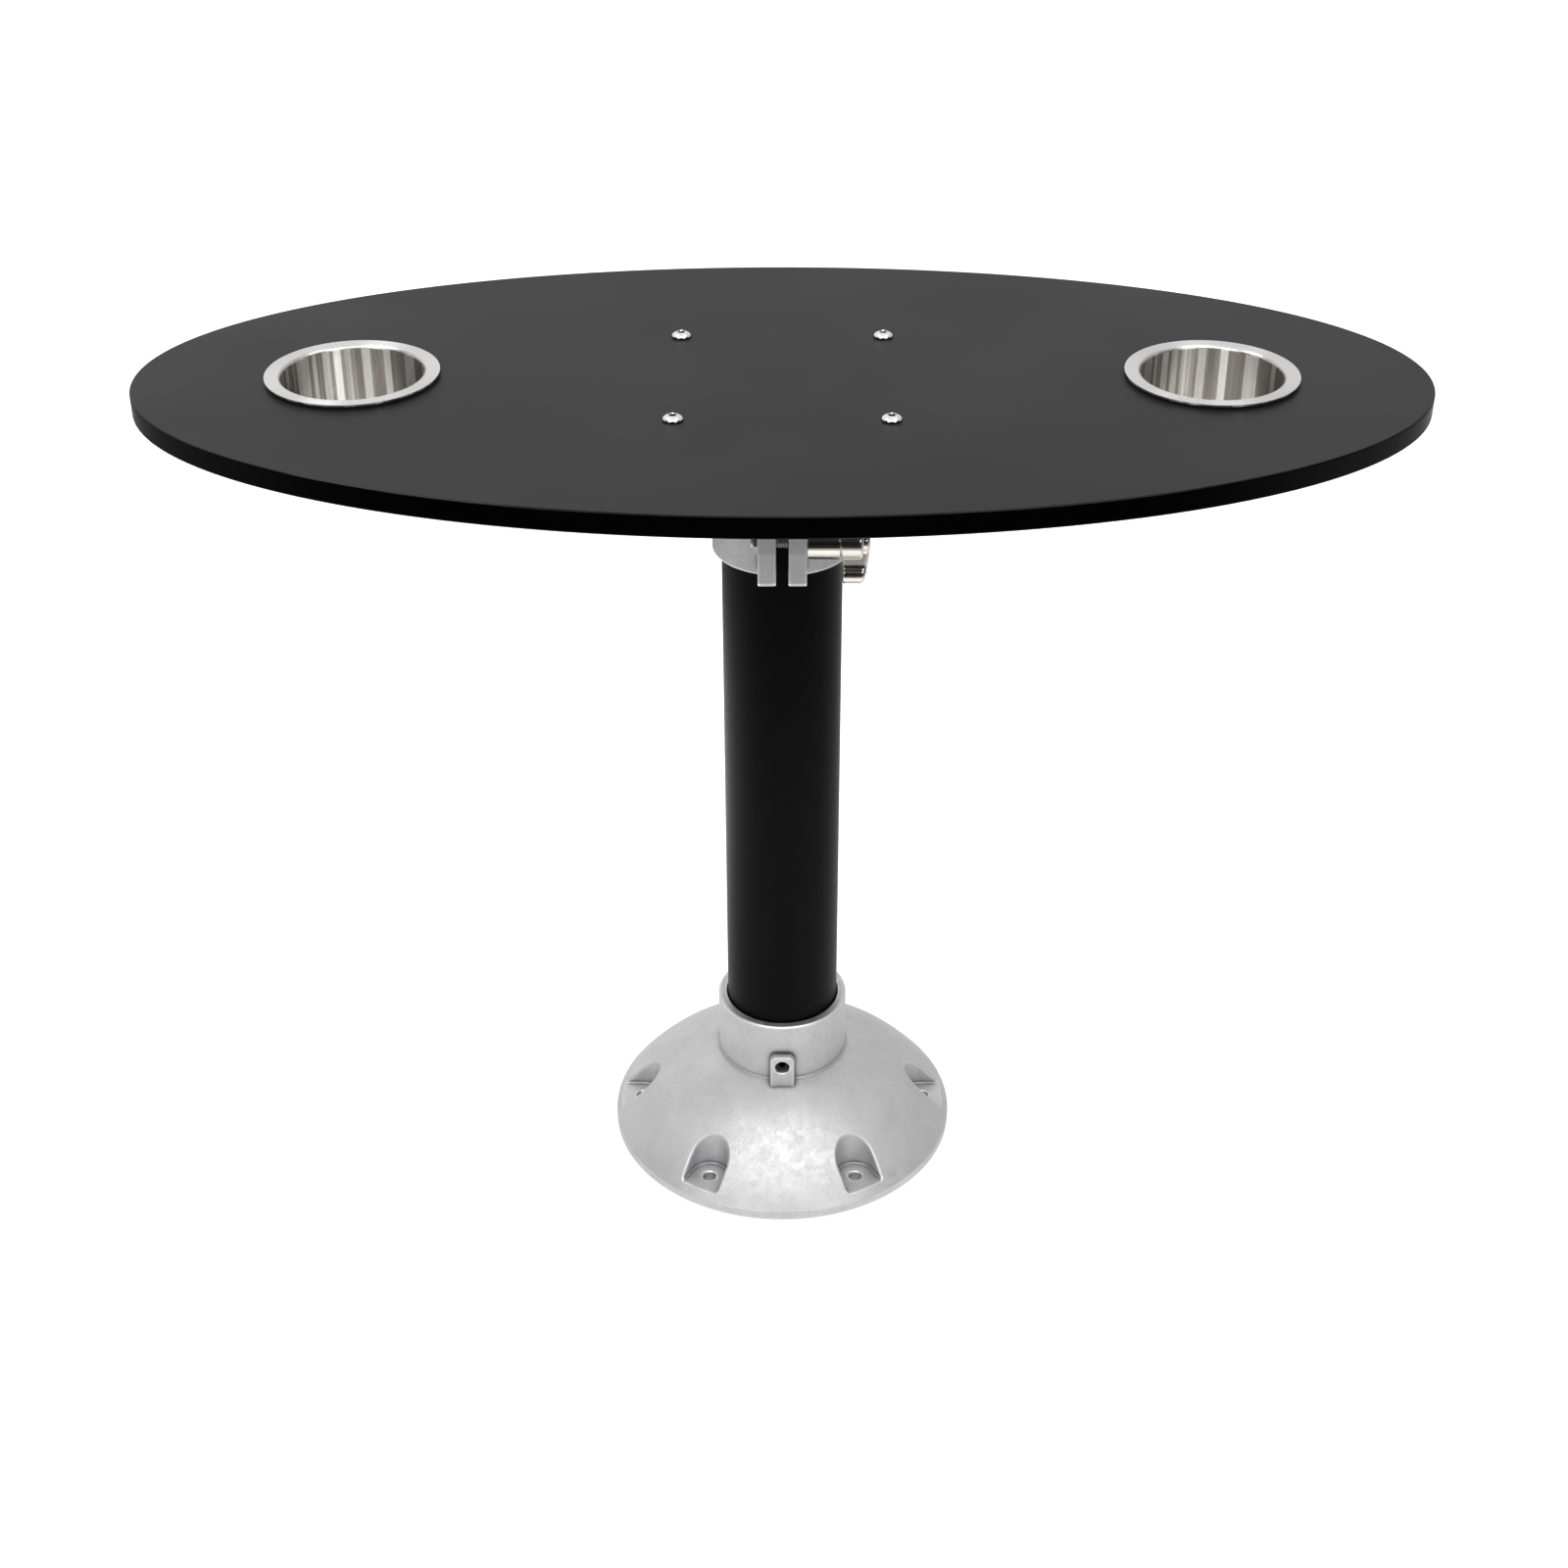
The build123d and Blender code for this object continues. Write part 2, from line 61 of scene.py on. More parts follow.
# The floor as the part reflects it: pairs of distance from the base, in metres, and brightness
floor_far = 1.4
floor_front = (
    (0.08, 0.9),
    (0.25, 1.1),
    (0.4, 1.3),
    (0.58, 1.2),
    (0.75, 0.5),
    (1.0, 0.3),
    (1.25, 0.02),
)
floor_left = ((0.08, 0.75), (0.25, 0.95), (0.4, 1.6), (0.6, 1.7), (0.8, 0.6), (1.4, 0.22))
floor_right = ((0.08, 0.75), (0.25, 0.9), (0.45, 0.75), (0.8, 0.7), (1.4, 0.35))

# Spans of the direction from the base over which one side of the floor gives way to the next
floor_turn_right = (-0.2, 0.6)
floor_turn_front = (-0.75, -0.2)

# Room: brightness, and the spans over which it changes along X to the right, Y to the back and Z upwards
room_dark = 0.02
room_pale = 1.08
room_low = 0.3
room_top = 1.0
room_right = 0.75
room_front_to_back = (-0.7, 0.85)
room_left_to_right = (-0.8, 0.8)
room_foot = (0.02, 0.3)
room_ceiling = (0.35, 0.85)
strip_count = 5
strip_turn = -math.pi / 2
strip_level = 2.6
strip_edge = (0.1, 0.7)
strip_foot = (0.2, 0.28)
strip_head = (0.5, 0.6)
strip_last = (0.0, 0.3)

# Soft lights: name, place, aim, size and radiance
part_middle = (0.0, 0.0, 0.35)
base_front = (0.0, -0.09, 0.03)
soft_lights = (
    ("overhead_left", (-1.0, 0.25, 2.3), part_middle, (0.7, 0.7), 9.0),
    ("overhead_right", (0.72, 0.25, 2.4), part_middle, (0.25, 0.7), 9.0),
    ("front_top", (0.0, -1.15, 2.4), base_front, (3.0, 1.4), 2.2),
)

# Round shapes: points in a ring, steps in an arc, and the angle in degrees from which an edge is sharp
ring_points = 48
bolt_head_steps = 12
collar_lip_steps = 5
sharp_angle = 35.0

# Threads, in shares of the pitch, and their rings in one turn
thread_depth = 0.613
thread_half_root = 0.0625
thread_flank = 0.3125
thread_steps = 8

# Fasteners, in metres
bolt_spacing = (0.12065, 0.127)
bolt_radius = 0.003175
bolt_pitch = 0.00127
bolt_head_radius = 0.006
bolt_head_height = 0.0033
bolt_head_rim = 0.0006
bolt_socket = 0.004
bolt_mouth_radius = 0.0025
bolt_socket_depth = 0.002
bolt_mouth_drop = 0.0006
bolt_end_chamfer = 0.0006
lock_nut_across_flats = 0.0111
lock_nut_shoulder = 0.0055
lock_nut_collar_radius = 0.0049
insert_radius = 0.0042
insert_height = 0.0024
insert_set_back = 0.0003
stud_radius = 0.00475
stud_pitch = 0.0015875
stud_end_chamfer = 0.0008
clamp_nut_across_flats = 0.0143
nut_clearance = 0.0001
mouth_chamfer = 0.0004

# Chamfer of a nut: its slope, and the radius of the face that it leaves as a share of the width across flats
nut_chamfer = math.tan(math.radians(30.0))
nut_face = 0.475

# Colours of the finishes
cast_dull = (0.62, 0.62, 0.627)
cast_pale = (0.68, 0.68, 0.687)
cast_sparkle = (0.80, 0.80, 0.80)
# Painted shade: the casting's colour deep in its hollows, such as the pockets
cast_painted_hollow_shade = (0.30, 0.30, 0.305)
# Painted shade: the casting's colour in its creases, such as the collar's foot
cast_painted_crevice_shade = (0.17, 0.17, 0.175)
# Worn edges of the casting, made paler still as a painted highlight
cast_worn_edge_and_highlight = (0.95, 0.95, 0.95)
pole_deep = (0.0012, 0.0012, 0.0013)
pole_hazy = (0.0018, 0.0018, 0.0019)
board_edge = (0.001, 0.001, 0.001)
board_face = (0.013, 0.013, 0.0137)
# Painted reflection streaks: the dark and bright bands in the cups' wall colour
cup_painted_dark_streak = (0.44, 0.412, 0.378)
cup_painted_bright_streak = (1.0, 0.995, 0.98)
cup_roll = (0.58, 0.565, 0.54)
cup_flange_dull = (0.69, 0.685, 0.675)
cup_flange_pale = (0.70, 0.695, 0.685)
zinc_grey = (0.50, 0.51, 0.52)
steel_white = (0.86, 0.86, 0.85)
nickel_warm = (0.86, 0.815, 0.75)
oxide_black = (0.05, 0.05, 0.05)
# Painted shade: the plated colour in corners, such as the bolt heads' sockets and feet
plated_painted_corner_shade = (0.03, 0.03, 0.03)
nylon_black = (0.035, 0.035, 0.036)
gasket_black = (0.006, 0.006, 0.006)

# Shares and roughnesses of the finishes, and the spans of the noise and the shelter that they follow
cast_edge_rough = 0.3
board_edge_rough = 0.10
plated_dull = 0.86
moulded_pale = 1.5
moulded_rough_change = 0.06
noise_middle = (0.3, 0.7)
# Span of the nearness over which painted shade fills corners and creases
painted_shade_span = (0.68, 0.95)
shelter_samples = 6

cup_centres = {}
for side in ("left", "right"):
    cup_low, cup_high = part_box(f"cup_holder_{side}")
    cup_centres[side] = (cup_low + cup_high) / 2


# Node helpers

def add_node(tree, kind, inputs=None, **settings):
    """Adds one node; an input is a constant or the socket that feeds it."""
    made = tree.nodes.new(kind)
    for name, value in settings.items():
        setattr(made, name, value)
    for name, value in (inputs or {}).items():
        if isinstance(value, bpy.types.NodeSocket):
            tree.links.new(value, made.inputs[name])
        else:
            made.inputs[name].default_value = value
    return made


def start_material(name, **constants):
    """A material with constants set on its shader, and the place on the piece as a socket."""
    material = bpy.data.materials.new(name)
    material.use_nodes = True
    tree = material.node_tree
    shader = tree.nodes["Principled BSDF"]
    for socket, value in constants.items():
        shader.inputs[socket.replace("_", " ")].default_value = value
    place = add_node(tree, "ShaderNodeTexCoord").outputs["Object"]
    return material, tree, shader, place


def calculate(tree, operation, *values):
    """Result of one step of arithmetic on numbers."""
    return add_node(tree, "ShaderNodeMath", dict(enumerate(values)), operation=operation).outputs[0]


def calculate_vector(tree, operation, *values):
    """Result of one step of arithmetic on vectors."""
    return add_node(tree, "ShaderNodeVectorMath", dict(enumerate(values)), operation=operation).outputs[0]


def noise(tree, place, size, detail=2.0, roughness=0.5, distortion=0.0):
    """Noise from 0 to 1 whose spots are about that size, in the units of the place."""
    inputs = {
        "Vector": place,
        "Scale": 1.0 / size,
        "Detail": detail,
        "Roughness": roughness,
        "Distortion": distortion,
    }
    return add_node(tree, "ShaderNodeTexNoise", inputs).outputs["Fac"]


def span(tree, value, over, low=0.0, high=1.0):
    """Goes smoothly from low to high while the value goes over its span."""
    inputs = {"Value": value, "From Min": over[0], "From Max": over[1], "To Min": low, "To Max": high}
    made = add_node(tree, "ShaderNodeMapRange", inputs, interpolation_type="SMOOTHSTEP")
    return made.outputs["Result"]


def blend_values(tree, share, first, second):
    """Mixes two numbers, each a constant or a socket."""
    return add_node(tree, "ShaderNodeMix", {0: share, 2: first, 3: second}).outputs[0]


def blend_colours(tree, share, first, second):
    """Mixes two colours, each a constant or a socket."""
    made = add_node(tree, "ShaderNodeMix", {0: share}, data_type="RGBA")
    for place, colour in ((6, first), (7, second)):
        if isinstance(colour, bpy.types.NodeSocket):
            tree.links.new(colour, made.inputs[place])
        else:
            made.inputs[place].default_value = (*colour, 1.0)
    return made.outputs[2]


def bump(tree, height, depth, below=None, strength=1.0):
    """Normal of a relief that deep, laid over the normal below."""
    inputs = {"Height": height, "Distance": depth, "Strength": strength}
    if below is not None:
        inputs["Normal"] = below
    return add_node(tree, "ShaderNodeBump", inputs).outputs["Normal"]


def upright(tree):
    """How far the surface faces up: 1 upwards, 0 sideways and -1 downwards."""
    normal = add_node(tree, "ShaderNodeTexCoord").outputs["Normal"]
    return add_node(tree, "ShaderNodeSeparateXYZ", {"Vector": normal}).outputs["Z"]


def shelter(tree, reach, inside=False, local=True):
    """1 where nothing stands within reach, less in a corner; inside, less along an outer edge."""
    made = add_node(
        tree,
        "ShaderNodeAmbientOcclusion",
        {"Distance": reach},
        samples=shelter_samples,
        inside=inside,
        only_local=local,
    )
    return made.outputs["AO"]


def feed(tree, shader, **sockets):
    """Links sockets to the shader's inputs of those names."""
    for name, socket in sockets.items():
        tree.links.new(socket, shader.inputs[name.replace("_", " ")])


def dress(material, *nodes):
    """Gives CAD nodes a material."""
    for name in nodes:
        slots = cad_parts[name].data.materials
        slots.clear()
        slots.append(material)


# Finishes

def cast_aluminium():
    """Tumbled casting: satin, with a fine grain and faint flow marks; its edges are worn bright and carry a
    painted highlight, and its hollows and creases carry painted shade.
    """
    material, tree, shader, place = start_material("cast_aluminium", Metallic=1.0)
    clouds = noise(tree, place, size=0.022, detail=4.0, distortion=0.6)
    grain = noise(tree, place, size=0.0011, detail=3.0)
    flow = noise(tree, place, size=0.006, detail=5.0, roughness=0.6, distortion=1.2)
    clouded = blend_colours(tree, span(tree, clouds, noise_middle), cast_dull, cast_pale)
    sparkle = span(tree, grain, over=(0.35, 0.75), high=0.5)
    grained = blend_colours(tree, sparkle, clouded, cast_sparkle)
    # Painted shade: the colour darkens where the casting stands within 10 mm of itself, as in the pockets
    painted_hollow_shade = span(tree, shelter(tree, reach=0.010), over=(0.45, 0.95), low=0.55, high=0.0)
    with_painted_hollow_shade = blend_colours(tree, painted_hollow_shade, grained, cast_painted_hollow_shade)
    # Painted shade: dark lines in creases where the casting stands within 3 mm of itself
    painted_crevice_shade = span(tree, shelter(tree, reach=0.003), painted_shade_span, low=1.0, high=0.0)
    with_painted_crevice_shade = blend_colours(tree, painted_crevice_shade, with_painted_hollow_shade, cast_painted_crevice_shade)
    # Outer edges: worn smoother, and paler in colour as a painted highlight
    worn_edge_and_highlight = span(tree, shelter(tree, reach=0.0018, inside=True), over=(0.7, 0.95), low=1.0, high=0.0)
    colour = blend_colours(tree, worn_edge_and_highlight, with_painted_crevice_shade, cast_worn_edge_and_highlight)
    satin = span(tree, flow, noise_middle, low=0.48, high=0.62)
    rough = blend_values(tree, worn_edge_and_highlight, satin, cast_edge_rough)
    waves = bump(tree, flow, depth=0.00016, strength=0.2)
    normal = bump(tree, grain, depth=0.00006, below=waves)
    feed(tree, shader, Base_Color=colour, Roughness=rough, Normal=normal)
    return material


def pole_black():
    """Satin black coat with a slight orange peel."""
    material, tree, shader, place = start_material("pole_black", Specular_IOR_Level=0.07)
    peel = noise(tree, place, size=0.0016, detail=1.0)
    haze = noise(tree, place, size=0.05)
    colour = blend_colours(tree, haze, pole_deep, pole_hazy)
    rough = span(tree, peel, noise_middle, low=0.33, high=0.42)
    normal = bump(tree, peel, depth=0.00003, strength=0.4)
    feed(tree, shader, Base_Color=colour, Roughness=rough, Normal=normal)
    return material


def board_black():
    """Black sheet with a satin face above and below and a polished edge."""
    material, tree, shader, place = start_material("board_black", Specular_IOR_Level=0.13)
    face = span(tree, calculate(tree, "ABSOLUTE", upright(tree)), over=(0.96, 0.999))
    grain = noise(tree, place, size=0.0009)
    haze = noise(tree, place, size=0.16)
    satin = span(tree, haze, noise_middle, low=0.40, high=0.46)
    rough = blend_values(tree, face, board_edge_rough, satin)
    colour = blend_colours(tree, face, board_edge, board_face)
    relief = calculate(tree, "MULTIPLY", grain, face)
    normal = bump(tree, relief, depth=0.00002, strength=0.5)
    feed(tree, shader, Base_Color=colour, Roughness=rough, Normal=normal)
    return material


def stainless_cup(side):
    """Spun stainless cup: polished round and round, so that lights stretch into upright streaks; the wall's
    colour also carries painted reflection streaks, bright and dark bands round the cup.
    """
    material, tree, shader, place = start_material(
        f"stainless_{side}",
        Metallic=1.0,
        Anisotropic=0.92,
        Anisotropic_Rotation=0.25,
    )
    from_centre = calculate_vector(tree, "SUBTRACT", place, cup_centres[side])
    flat = calculate_vector(tree, "MULTIPLY", from_centre, (1.0, 1.0, 0.0))
    round_about = calculate_vector(tree, "NORMALIZE", flat)
    spin_marks_and_painted_streaks = noise(tree, round_about, size=0.13, detail=1.0)
    fine = noise(tree, round_about, size=0.02)
    up = upright(tree)
    # Painted reflection: bright and dark upright bands in the wall's colour by angle round the cup; the same
    # noise also gives the real spin marks in the relief
    painted_reflection_streaks = span(tree, spin_marks_and_painted_streaks, over=(0.45, 0.56))
    wall_with_painted_streaks = blend_colours(tree, painted_reflection_streaks, cup_painted_dark_streak, cup_painted_bright_streak)
    roll = span(tree, up, over=(0.15, 0.45))
    rolled = blend_colours(tree, roll, wall_with_painted_streaks, cup_roll)
    flange = span(tree, up, over=(0.85, 0.995))
    brushed = blend_colours(tree, fine, cup_flange_dull, cup_flange_pale)
    colour = blend_colours(tree, flange, rolled, brushed)
    rough = span(tree, fine, noise_middle, low=0.27, high=0.30)
    relief = span(tree, up, over=(0.2, 0.7), low=0.4, high=0.0)
    normal = bump(tree, spin_marks_and_painted_streaks, depth=0.0004, strength=relief)
    spun = add_node(tree, "ShaderNodeTangent", direction_type="RADIAL", axis="Z").outputs["Tangent"]
    feed(tree, shader, Base_Color=colour, Roughness=rough, Normal=normal, Tangent=spun)
    return material


def plated(name, colour, smoothest, roughest, painted_shade_reach=0.0):
    """Plated or polished metal with cloudy gloss, and painted shade in corners up to the stated reach."""
    material, tree, shader, place = start_material(name, Metallic=1.0)
    clouds = noise(tree, place, size=0.004, detail=3.0)
    grain = noise(tree, place, size=0.0005)
    dull = tuple(plated_dull * part for part in colour)
    shade = blend_colours(tree, clouds, dull, colour)
    # Painted shade: the colour darkens where the piece or another one stands close, as in sockets and under
    # heads
    if painted_shade_reach:
        painted_corner_shade = span(tree, shelter(tree, painted_shade_reach, local=False), painted_shade_span, low=1.0, high=0.0)
        shade = blend_colours(tree, painted_corner_shade, shade, plated_painted_corner_shade)
    rough = span(tree, clouds, noise_middle, low=smoothest, high=roughest)
    normal = bump(tree, grain, depth=0.00001, strength=0.3)
    feed(tree, shader, Base_Color=shade, Roughness=rough, Normal=normal)
    return material


def moulded(name, colour, rough, spot):
    """Rubber or plastic with a fine matt skin."""
    material, tree, shader, place = start_material(name, Specular_IOR_Level=0.3)
    grain = noise(tree, place, size=spot)
    pale = tuple(moulded_pale * part for part in colour)
    shade = blend_colours(tree, grain, colour, pale)
    smoothest = rough - moulded_rough_change
    roughest = rough + moulded_rough_change
    matt = span(tree, grain, noise_middle, low=smoothest, high=roughest)
    normal = bump(tree, grain, depth=0.00004, strength=0.4)
    feed(tree, shader, Base_Color=shade, Roughness=matt, Normal=normal)
    return material


zinc = plated("zinc_steel", zinc_grey, smoothest=0.24, roughest=0.36)
bright = plated("bright_steel", steel_white, smoothest=0.05, roughest=0.10, painted_shade_reach=0.003)
knob_nickel = plated("cast_nickel", nickel_warm, smoothest=0.15, roughest=0.22)
sleeve_nickel = plated("bright_nickel", nickel_warm, smoothest=0.06, roughest=0.12)
black_steel = plated("black_steel", oxide_black, smoothest=0.35, roughest=0.45)
nylon = moulded("nylon", nylon_black, rough=0.5, spot=0.0012)
gasket_rubber = moulded("gasket_rubber", gasket_black, rough=0.6, spot=0.0008)

dress(cast_aluminium(), "base_casting", "head_casting")
dress(pole_black(), "pole_tube")
dress(board_black(), "table_top")
for side in cup_centres:
    dress(stainless_cup(side), f"cup_holder_{side}")
    dress(gasket_rubber, f"cup_gasket_{side}")
dress(knob_nickel, "clamp_knob")
dress(sleeve_nickel, "spacer_sleeve")
dress(bright, "table_bolts")
dress(zinc, "clamp_stud", "clamp_nut", "clamp_washer", "table_washers", "table_nuts")
dress(black_steel, "base_set_screw")
dress(nylon, "bearing_cap")


# Fasteners with their threads, sockets and chamfers

def hexagon(across_flats):
    """Distance from the middle to the side of a hexagon at an angle, with a corner at angle 0."""
    def reach(angle):
        turn = angle % (math.pi / 3) - math.pi / 6
        return across_flats / 2 / math.cos(turn)
    return reach


def ring(reach, level):
    """Points once round the axis; the reach and the level are numbers or follow the angle."""
    points = []
    for step in range(ring_points):
        angle = 2 * math.pi * step / ring_points
        out = reach(angle) if callable(reach) else reach
        height = level(angle) if callable(level) else level
        points.append((out * math.cos(angle), out * math.sin(angle), height))
    return points


def arc_rings(centre, out, rise, start, end, steps):
    """Rings along an elliptical arc in the section, from one angle to another."""
    made = []
    for step in range(steps + 1):
        angle = math.radians(start + (end - start) * step / steps)
        made.append(ring(centre[0] + out * math.cos(angle), centre[1] + rise * math.sin(angle)))
    return made


def thread_rings(radius, pitch, start, end):
    """Rings down a right-hand thread from the start level to the end level."""
    depth = thread_depth * pitch
    steps = round((start - end) / pitch * thread_steps)
    made = []
    for step in range(steps + 1):
        level = start + (end - start) * step / steps
        run_out = min(1.0, step / thread_steps, (steps - step) / thread_steps)

        def reach(angle):
            turn = (level / pitch - angle / (2 * math.pi)) % 1.0
            flank = (abs(turn - 0.5) - thread_half_root) / thread_flank
            return radius - run_out * depth * min(1.0, max(0.0, 1.0 - flank))

        made.append(ring(reach, level))
    return made


def chamfered(across_flats, level, up):
    """Rings where a nut's face meets its flats: the edge of the face, then the flats' curved ends."""
    flats = hexagon(across_flats)
    face = nut_face * across_flats
    way = -1.0 if up else 1.0
    ends = ring(flats, lambda angle: level + way * (flats(angle) - face) * nut_chamfer)
    return [ring(face, level), ends]


def skin(name, rings, joined):
    """Mesh through the rings; joined ones close on themselves, and the others are capped."""
    points = [point for points in rings for point in points]
    faces = []
    for row in range(len(rings) if joined else len(rings) - 1):
        here = row * ring_points
        there = (row + 1) % len(rings) * ring_points
        for step in range(ring_points):
            after = (step + 1) % ring_points
            faces.append((here + step, here + after, there + after, there + step))
    if not joined:
        faces.append(tuple(range(ring_points)))
        faces.append(tuple(range(len(points) - ring_points, len(points))))
    mesh = bpy.data.meshes.new(name)
    mesh.from_pydata(points, [], faces)
    shell = bmesh.new()
    shell.from_mesh(mesh)
    bmesh.ops.recalc_face_normals(shell, faces=shell.faces)
    shell.to_mesh(mesh)
    shell.free()
    mesh.shade_smooth()
    mesh.set_sharp_from_angle(angle=math.radians(sharp_angle))
    return mesh


def put_down(name, mesh, finish=None):
    """An object for the mesh, at the origin."""
    if finish:
        mesh.materials.append(finish)
    piece = bpy.data.objects.new(name, mesh)
    bpy.context.scene.collection.objects.link(piece)
    return piece


def lay_along_x(mesh, centre):
    """Turns a mesh from the upright axis to the clamp screw's axis and moves it there."""
    for vertex in mesh.vertices:
        x, y, z = vertex.co
        vertex.co = (z, x + centre.y, y + centre.z)


def corner_pattern():
    """Node tree that sets one fastener at each corner of the bolt pattern."""
    tree = bpy.data.node_groups.new("corner_pattern", "GeometryNodeTree")
    sockets = tree.interface
    sockets.new_socket("Fastener", in_out="INPUT", socket_type="NodeSocketGeometry")
    sockets.new_socket("Spacing X", in_out="INPUT", socket_type="NodeSocketFloat")
    sockets.new_socket("Spacing Y", in_out="INPUT", socket_type="NodeSocketFloat")
    sockets.new_socket("Finish", in_out="INPUT", socket_type="NodeSocketMaterial")
    sockets.new_socket("Fasteners", in_out="OUTPUT", socket_type="NodeSocketGeometry")
    given = add_node(tree, "NodeGroupInput").outputs
    corners = add_node(
        tree,
        "GeometryNodeMeshGrid",
        {"Size X": given["Spacing X"], "Size Y": given["Spacing Y"], "Vertices X": 2, "Vertices Y": 2},
    ).outputs["Mesh"]
    placed = add_node(
        tree,
        "GeometryNodeInstanceOnPoints",
        {"Points": corners, "Instance": given["Fastener"]},
    ).outputs["Instances"]
    real = add_node(tree, "GeometryNodeRealizeInstances", {"Geometry": placed}).outputs["Geometry"]
    dressed = add_node(
        tree,
        "GeometryNodeSetMaterial",
        {"Geometry": real, "Material": given["Finish"]},
    ).outputs["Geometry"]
    add_node(tree, "NodeGroupOutput", {"Fasteners": dressed})
    return tree


def set_at_corners(pattern, name, mesh, finish):
    """Plain mesh of one fastener repeated over the bolt pattern."""
    piece = put_down(name, mesh)
    modifier = piece.modifiers.new("corners", "NODES")
    modifier.node_group = pattern
    values = {"Spacing X": bolt_spacing[0], "Spacing Y": bolt_spacing[1], "Finish": finish}
    for socket in pattern.interface.items_tree:
        if socket.in_out == "INPUT" and socket.name in values:
            modifier[socket.identifier] = values[socket.name]
    graph = bpy.context.evaluated_depsgraph_get()
    repeated = bpy.data.meshes.new_from_object(piece.evaluated_get(graph))
    piece.modifiers.remove(modifier)
    piece.data = repeated
    repeated.name = name
    return piece


def bolt_mesh():
    """Button-head bolt with a hexagon socket and a full thread."""
    low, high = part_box("table_bolts")
    seat = high.z - bolt_head_height
    rim = seat + bolt_head_rim
    mouth = math.acos(bolt_mouth_radius / bolt_head_radius)
    crown = (high.z - rim) / math.sin(mouth)
    rings = [
        ring(hexagon(bolt_socket), high.z - bolt_socket_depth),
        ring(hexagon(bolt_socket), high.z - bolt_mouth_drop),
    ]
    rings += arc_rings((0.0, rim), bolt_head_radius, crown, math.degrees(mouth), 0.0, bolt_head_steps)
    rings += [ring(bolt_head_radius, seat), ring(bolt_radius, seat)]
    rings += thread_rings(bolt_radius, bolt_pitch, seat - bolt_end_chamfer, low.z + bolt_end_chamfer)
    rings.append(ring(bolt_radius - bolt_end_chamfer, low.z))
    return skin("bolt", rings, joined=False)


def lock_nut_mesh():
    """Lock nut: chamfered hexagon with a round collar below that holds the insert."""
    low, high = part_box("table_nuts")
    bore = bolt_radius + nut_clearance
    shoulder = high.z - lock_nut_shoulder
    lip = lock_nut_collar_radius - insert_radius
    rings = [ring(bore, high.z - mouth_chamfer), ring(bore + mouth_chamfer, high.z)]
    rings += chamfered(lock_nut_across_flats, high.z, up=True)
    rings += reversed(chamfered(lock_nut_across_flats, shoulder, up=False))
    rings.append(ring(lock_nut_collar_radius, shoulder))
    rings += arc_rings((insert_radius, low.z + lip), lip, lip, 0.0, -90.0, collar_lip_steps)
    rings += [ring(insert_radius, low.z + insert_height), ring(bore, low.z + insert_height)]
    return skin("lock_nut", rings, joined=True)


def insert_mesh():
    """Nylon ring in the lock nut's collar."""
    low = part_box("table_nuts")[0]
    bottom = low.z + insert_set_back
    top = low.z + insert_height
    bore = bolt_radius + nut_clearance / 2
    rings = [
        ring(bore, top),
        ring(insert_radius, top),
        ring(insert_radius, bottom),
        ring(bore + mouth_chamfer, bottom),
        ring(bore, bottom + mouth_chamfer),
    ]
    return skin("lock_insert", rings, joined=True)


def stud_mesh():
    """Threaded stud along the clamp screw's axis."""
    low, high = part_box("clamp_stud")
    rings = [ring(stud_radius - stud_end_chamfer, high.x)]
    rings += thread_rings(stud_radius, stud_pitch, high.x - stud_end_chamfer, low.x + stud_end_chamfer)
    rings.append(ring(stud_radius - stud_end_chamfer, low.x))
    mesh = skin("clamp_stud_thread", rings, joined=False)
    lay_along_x(mesh, (low + high) / 2)
    return mesh


def clamp_nut_mesh():
    """Hexagon nut with both faces chamfered, along the clamp screw's axis."""
    low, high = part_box("clamp_nut")
    bore = stud_radius + nut_clearance
    rings = [ring(bore, high.x - mouth_chamfer), ring(bore + mouth_chamfer, high.x)]
    rings += chamfered(clamp_nut_across_flats, high.x, up=True)
    rings += reversed(chamfered(clamp_nut_across_flats, low.x, up=False))
    rings += [ring(bore + mouth_chamfer, low.x), ring(bore, low.x + mouth_chamfer)]
    mesh = skin("clamp_nut_hexagon", rings, joined=True)
    lay_along_x(mesh, (low + high) / 2)
    return mesh


def fit(piece, body, slot, *nodes):
    """Rides a finished piece on its body and in place of the nodes; the slot is not used."""
    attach(piece, body)
    if nodes:
        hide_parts(*nodes)


pattern = corner_pattern()
table_bolt_set = set_at_corners(pattern, "table_bolt_set", bolt_mesh(), bright)
fit(table_bolt_set, "table", "bright_steel", "table_bolts")
table_lock_nuts = set_at_corners(pattern, "table_lock_nuts", lock_nut_mesh(), zinc)
fit(table_lock_nuts, "table", "zinc_steel", "table_nuts")
table_lock_inserts = set_at_corners(pattern, "table_lock_inserts", insert_mesh(), nylon)
fit(table_lock_inserts, "table", "nylon")
fit(put_down("clamp_stud_thread", stud_mesh(), zinc), "knob", "zinc_steel", "clamp_stud")
fit(put_down("clamp_nut_hexagon", clamp_nut_mesh(), zinc), "table", "zinc_steel", "clamp_nut")


# Floor, light and camera

def by_distance(tree, away, levels):
    """Carries the distance from the base over to the levels stated for a few distances."""
    ramp = tree.nodes.new("ShaderNodeValToRGB")
    steps = ramp.color_ramp
    middle = 0.5
    while len(steps.elements) < len(levels):
        steps.elements.new(middle)
    for element, (distance, level) in zip(steps.elements, levels):
        element.position = distance / floor_far
        element.color = (level, level, level, 1.0)
    tree.links.new(calculate(tree, "DIVIDE", away, floor_far), ramp.inputs["Fac"])
    return ramp.outputs["Color"]


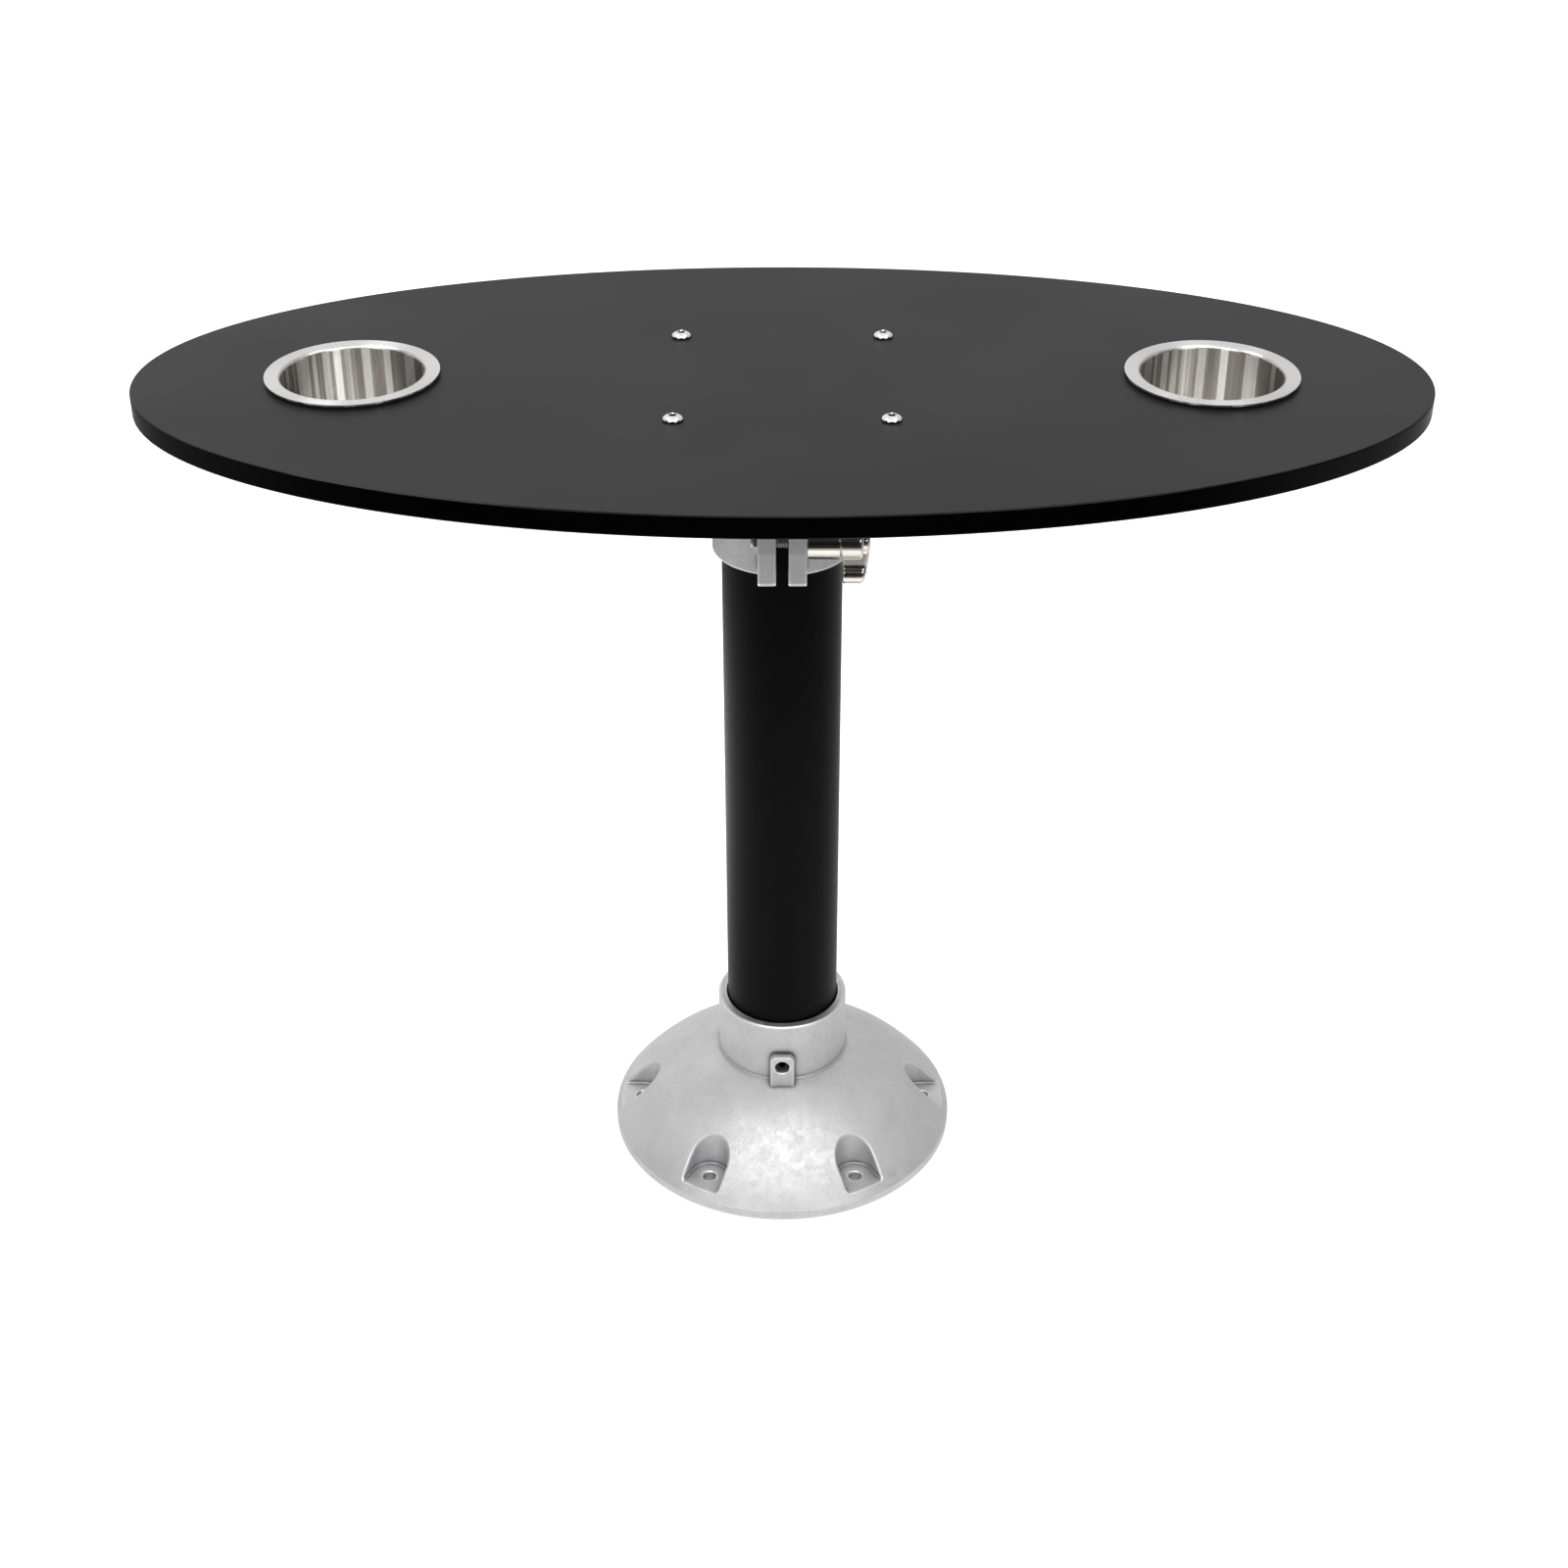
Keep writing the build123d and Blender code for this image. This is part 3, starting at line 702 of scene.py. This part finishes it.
def lay_floor():
    """Plain pale floor, with a reflection of its own for the part: left, right and front of the base; its
    glow is dimmed under the base as a painted shadow.
    """
    half = floor_size / 2
    outline = ((-half, -half), (half, -half), (half, half), (-half, half))
    corners = [(x, y, -floor_drop) for x, y in outline]
    mesh = bpy.data.meshes.new("floor")
    mesh.from_pydata(corners, [], [(0, 1, 2, 3)])
    material = bpy.data.materials.new("pale_floor")
    material.use_nodes = True
    tree = material.node_tree
    tree.nodes.remove(tree.nodes["Principled BSDF"])
    place = add_node(tree, "ShaderNodeTexCoord").outputs["Object"]
    away = add_node(tree, "ShaderNodeVectorMath", {0: place}, operation="LENGTH").outputs["Value"]
    heading = calculate_vector(tree, "NORMALIZE", place)
    axes = add_node(tree, "ShaderNodeSeparateXYZ", {"Vector": heading}).outputs
    to_right = span(tree, axes["X"], floor_turn_right)
    in_front = span(tree, axes["Y"], floor_turn_front, low=1.0, high=0.0)
    left = by_distance(tree, away, floor_left)
    right = by_distance(tree, away, floor_right)
    sides = blend_colours(tree, to_right, left, right)
    reach = blend_colours(tree, in_front, sides, by_distance(tree, away, floor_front))
    reflected = add_node(tree, "ShaderNodeEmission", {"Color": reach}).outputs[0]
    pale = add_node(tree, "ShaderNodeBsdfDiffuse", {"Color": floor_pale}).outputs[0]
    # Painted shadow: the glow drops to its low level under the base
    glow_with_painted_shadow = span(tree, away, floor_painted_shadow_rim, low=floor_glow_painted_shadow, high=floor_glow)
    glow = add_node(tree, "ShaderNodeEmission", {"Strength": glow_with_painted_shadow}).outputs[0]
    seen = add_node(tree, "ShaderNodeAddShader", {0: pale, 1: glow}).outputs[0]
    direct = add_node(tree, "ShaderNodeLightPath").outputs["Is Camera Ray"]
    mixed = add_node(tree, "ShaderNodeMixShader", {0: direct, 1: reflected, 2: seen}).outputs[0]
    tree.links.new(mixed, tree.nodes["Material Output"].inputs["Surface"])
    put_down("floor", mesh, material)


def hang_light(name, place, aim, size, radiance):
    """Soft rectangular light that faces its aim, as bright as its radiance says from any distance."""
    data = bpy.data.lights.new(name, "AREA")
    data.shape = "RECTANGLE"
    data.size, data.size_y = size
    data.energy = radiance * math.pi * size[0] * size[1]
    light = bpy.data.objects.new(name, data)
    light.location = place
    light.rotation_mode = "QUATERNION"
    light.rotation_quaternion = (Vector(aim) - Vector(place)).to_track_quat("-Z", "Y")
    light.visible_camera = False
    bpy.context.scene.collection.objects.link(light)


def light_room():
    """Room that is pale behind and overhead and dark in front, with strip lights and a white backdrop."""
    world = bpy.data.worlds.new("studio")
    bpy.context.scene.world = world
    world.use_nodes = True
    tree = world.node_tree
    direction = add_node(tree, "ShaderNodeTexCoord").outputs["Generated"]
    axes = add_node(tree, "ShaderNodeSeparateXYZ", {"Vector": direction}).outputs
    behind = span(tree, axes["Y"], room_front_to_back, low=room_dark, high=room_pale)
    across = span(tree, axes["X"], room_left_to_right, low=1.0, high=room_right)
    risen = span(tree, axes["Z"], room_foot, low=room_low, high=1.0)
    walls = calculate(tree, "MULTIPLY", calculate(tree, "MULTIPLY", behind, across), risen)
    above = span(tree, axes["Z"], room_ceiling, low=0.0, high=room_top)
    forward = calculate(tree, "MULTIPLY", axes["Y"], -1.0)
    round_about = calculate(tree, "ARCTAN2", axes["X"], forward)
    wave = calculate(tree, "MULTIPLY_ADD", round_about, float(strip_count), strip_turn)
    strips = span(tree, calculate(tree, "SINE", wave), strip_edge, low=0.0, high=strip_level)
    over = span(tree, axes["Z"], strip_foot)
    under = span(tree, axes["Z"], strip_head, low=1.0, high=0.0)
    ahead = span(tree, axes["Y"], strip_last, low=1.0, high=0.0)
    between = calculate(tree, "MULTIPLY", under, ahead)
    banded = calculate(tree, "MULTIPLY", calculate(tree, "MULTIPLY", strips, over), between)
    level = calculate(tree, "MAXIMUM", calculate(tree, "MAXIMUM", walls, above), banded)
    direct = add_node(tree, "ShaderNodeLightPath").outputs["Is Camera Ray"]
    background = tree.nodes["Background"]
    background.inputs["Color"].default_value = (1.0, 1.0, 1.0, 1.0)
    tree.links.new(calculate(tree, "MAXIMUM", level, direct), background.inputs["Strength"])
    for light in soft_lights:
        hang_light(*light)


def set_camera():
    """Camera at the viewing angle of the photograph."""
    data = bpy.data.cameras.new("camera")
    data.sensor_fit = "HORIZONTAL"
    data.sensor_width = camera_sensor
    data.lens = camera_lens
    data.shift_x = camera_shift
    camera = bpy.data.objects.new("camera", data)
    camera.location = camera_place
    camera.rotation_euler = (math.radians(90.0 - camera_pitch), 0.0, 0.0)
    bpy.context.scene.collection.objects.link(camera)
    bpy.context.scene.camera = camera


lay_floor()
light_room()
set_camera()
bpy.context.scene.view_settings.view_transform = "Standard"
